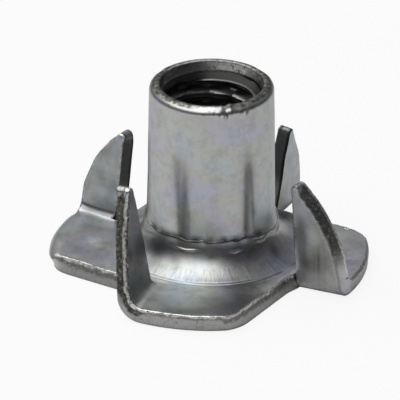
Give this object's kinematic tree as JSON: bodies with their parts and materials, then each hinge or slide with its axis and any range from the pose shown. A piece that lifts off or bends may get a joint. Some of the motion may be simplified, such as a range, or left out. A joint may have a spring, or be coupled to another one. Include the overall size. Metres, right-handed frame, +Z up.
{
  "type": "four-pronged tee nut",
  "caption": "Pronged tee nut for wood: a drawn, threaded barrel on a round flange whose prongs are folded up beside it.",
  "frame": {"origin": "centre of the flange's underside, on the barrel's axis", "axes": "+Z up along the barrel's axis, from the flange to the mouth; +X along the centre line of one flange lobe"},
  "size_m": [0.0192, 0.0192, 0.0117],
  "materials": {
    "tee_nut": "bright zinc plating with a faint blue and yellow passivated tint, over pressed sheet steel"
  },
  "bodies": {
    "root": {"tee_nut": "tee_nut"}
  },
  "joints": []
}
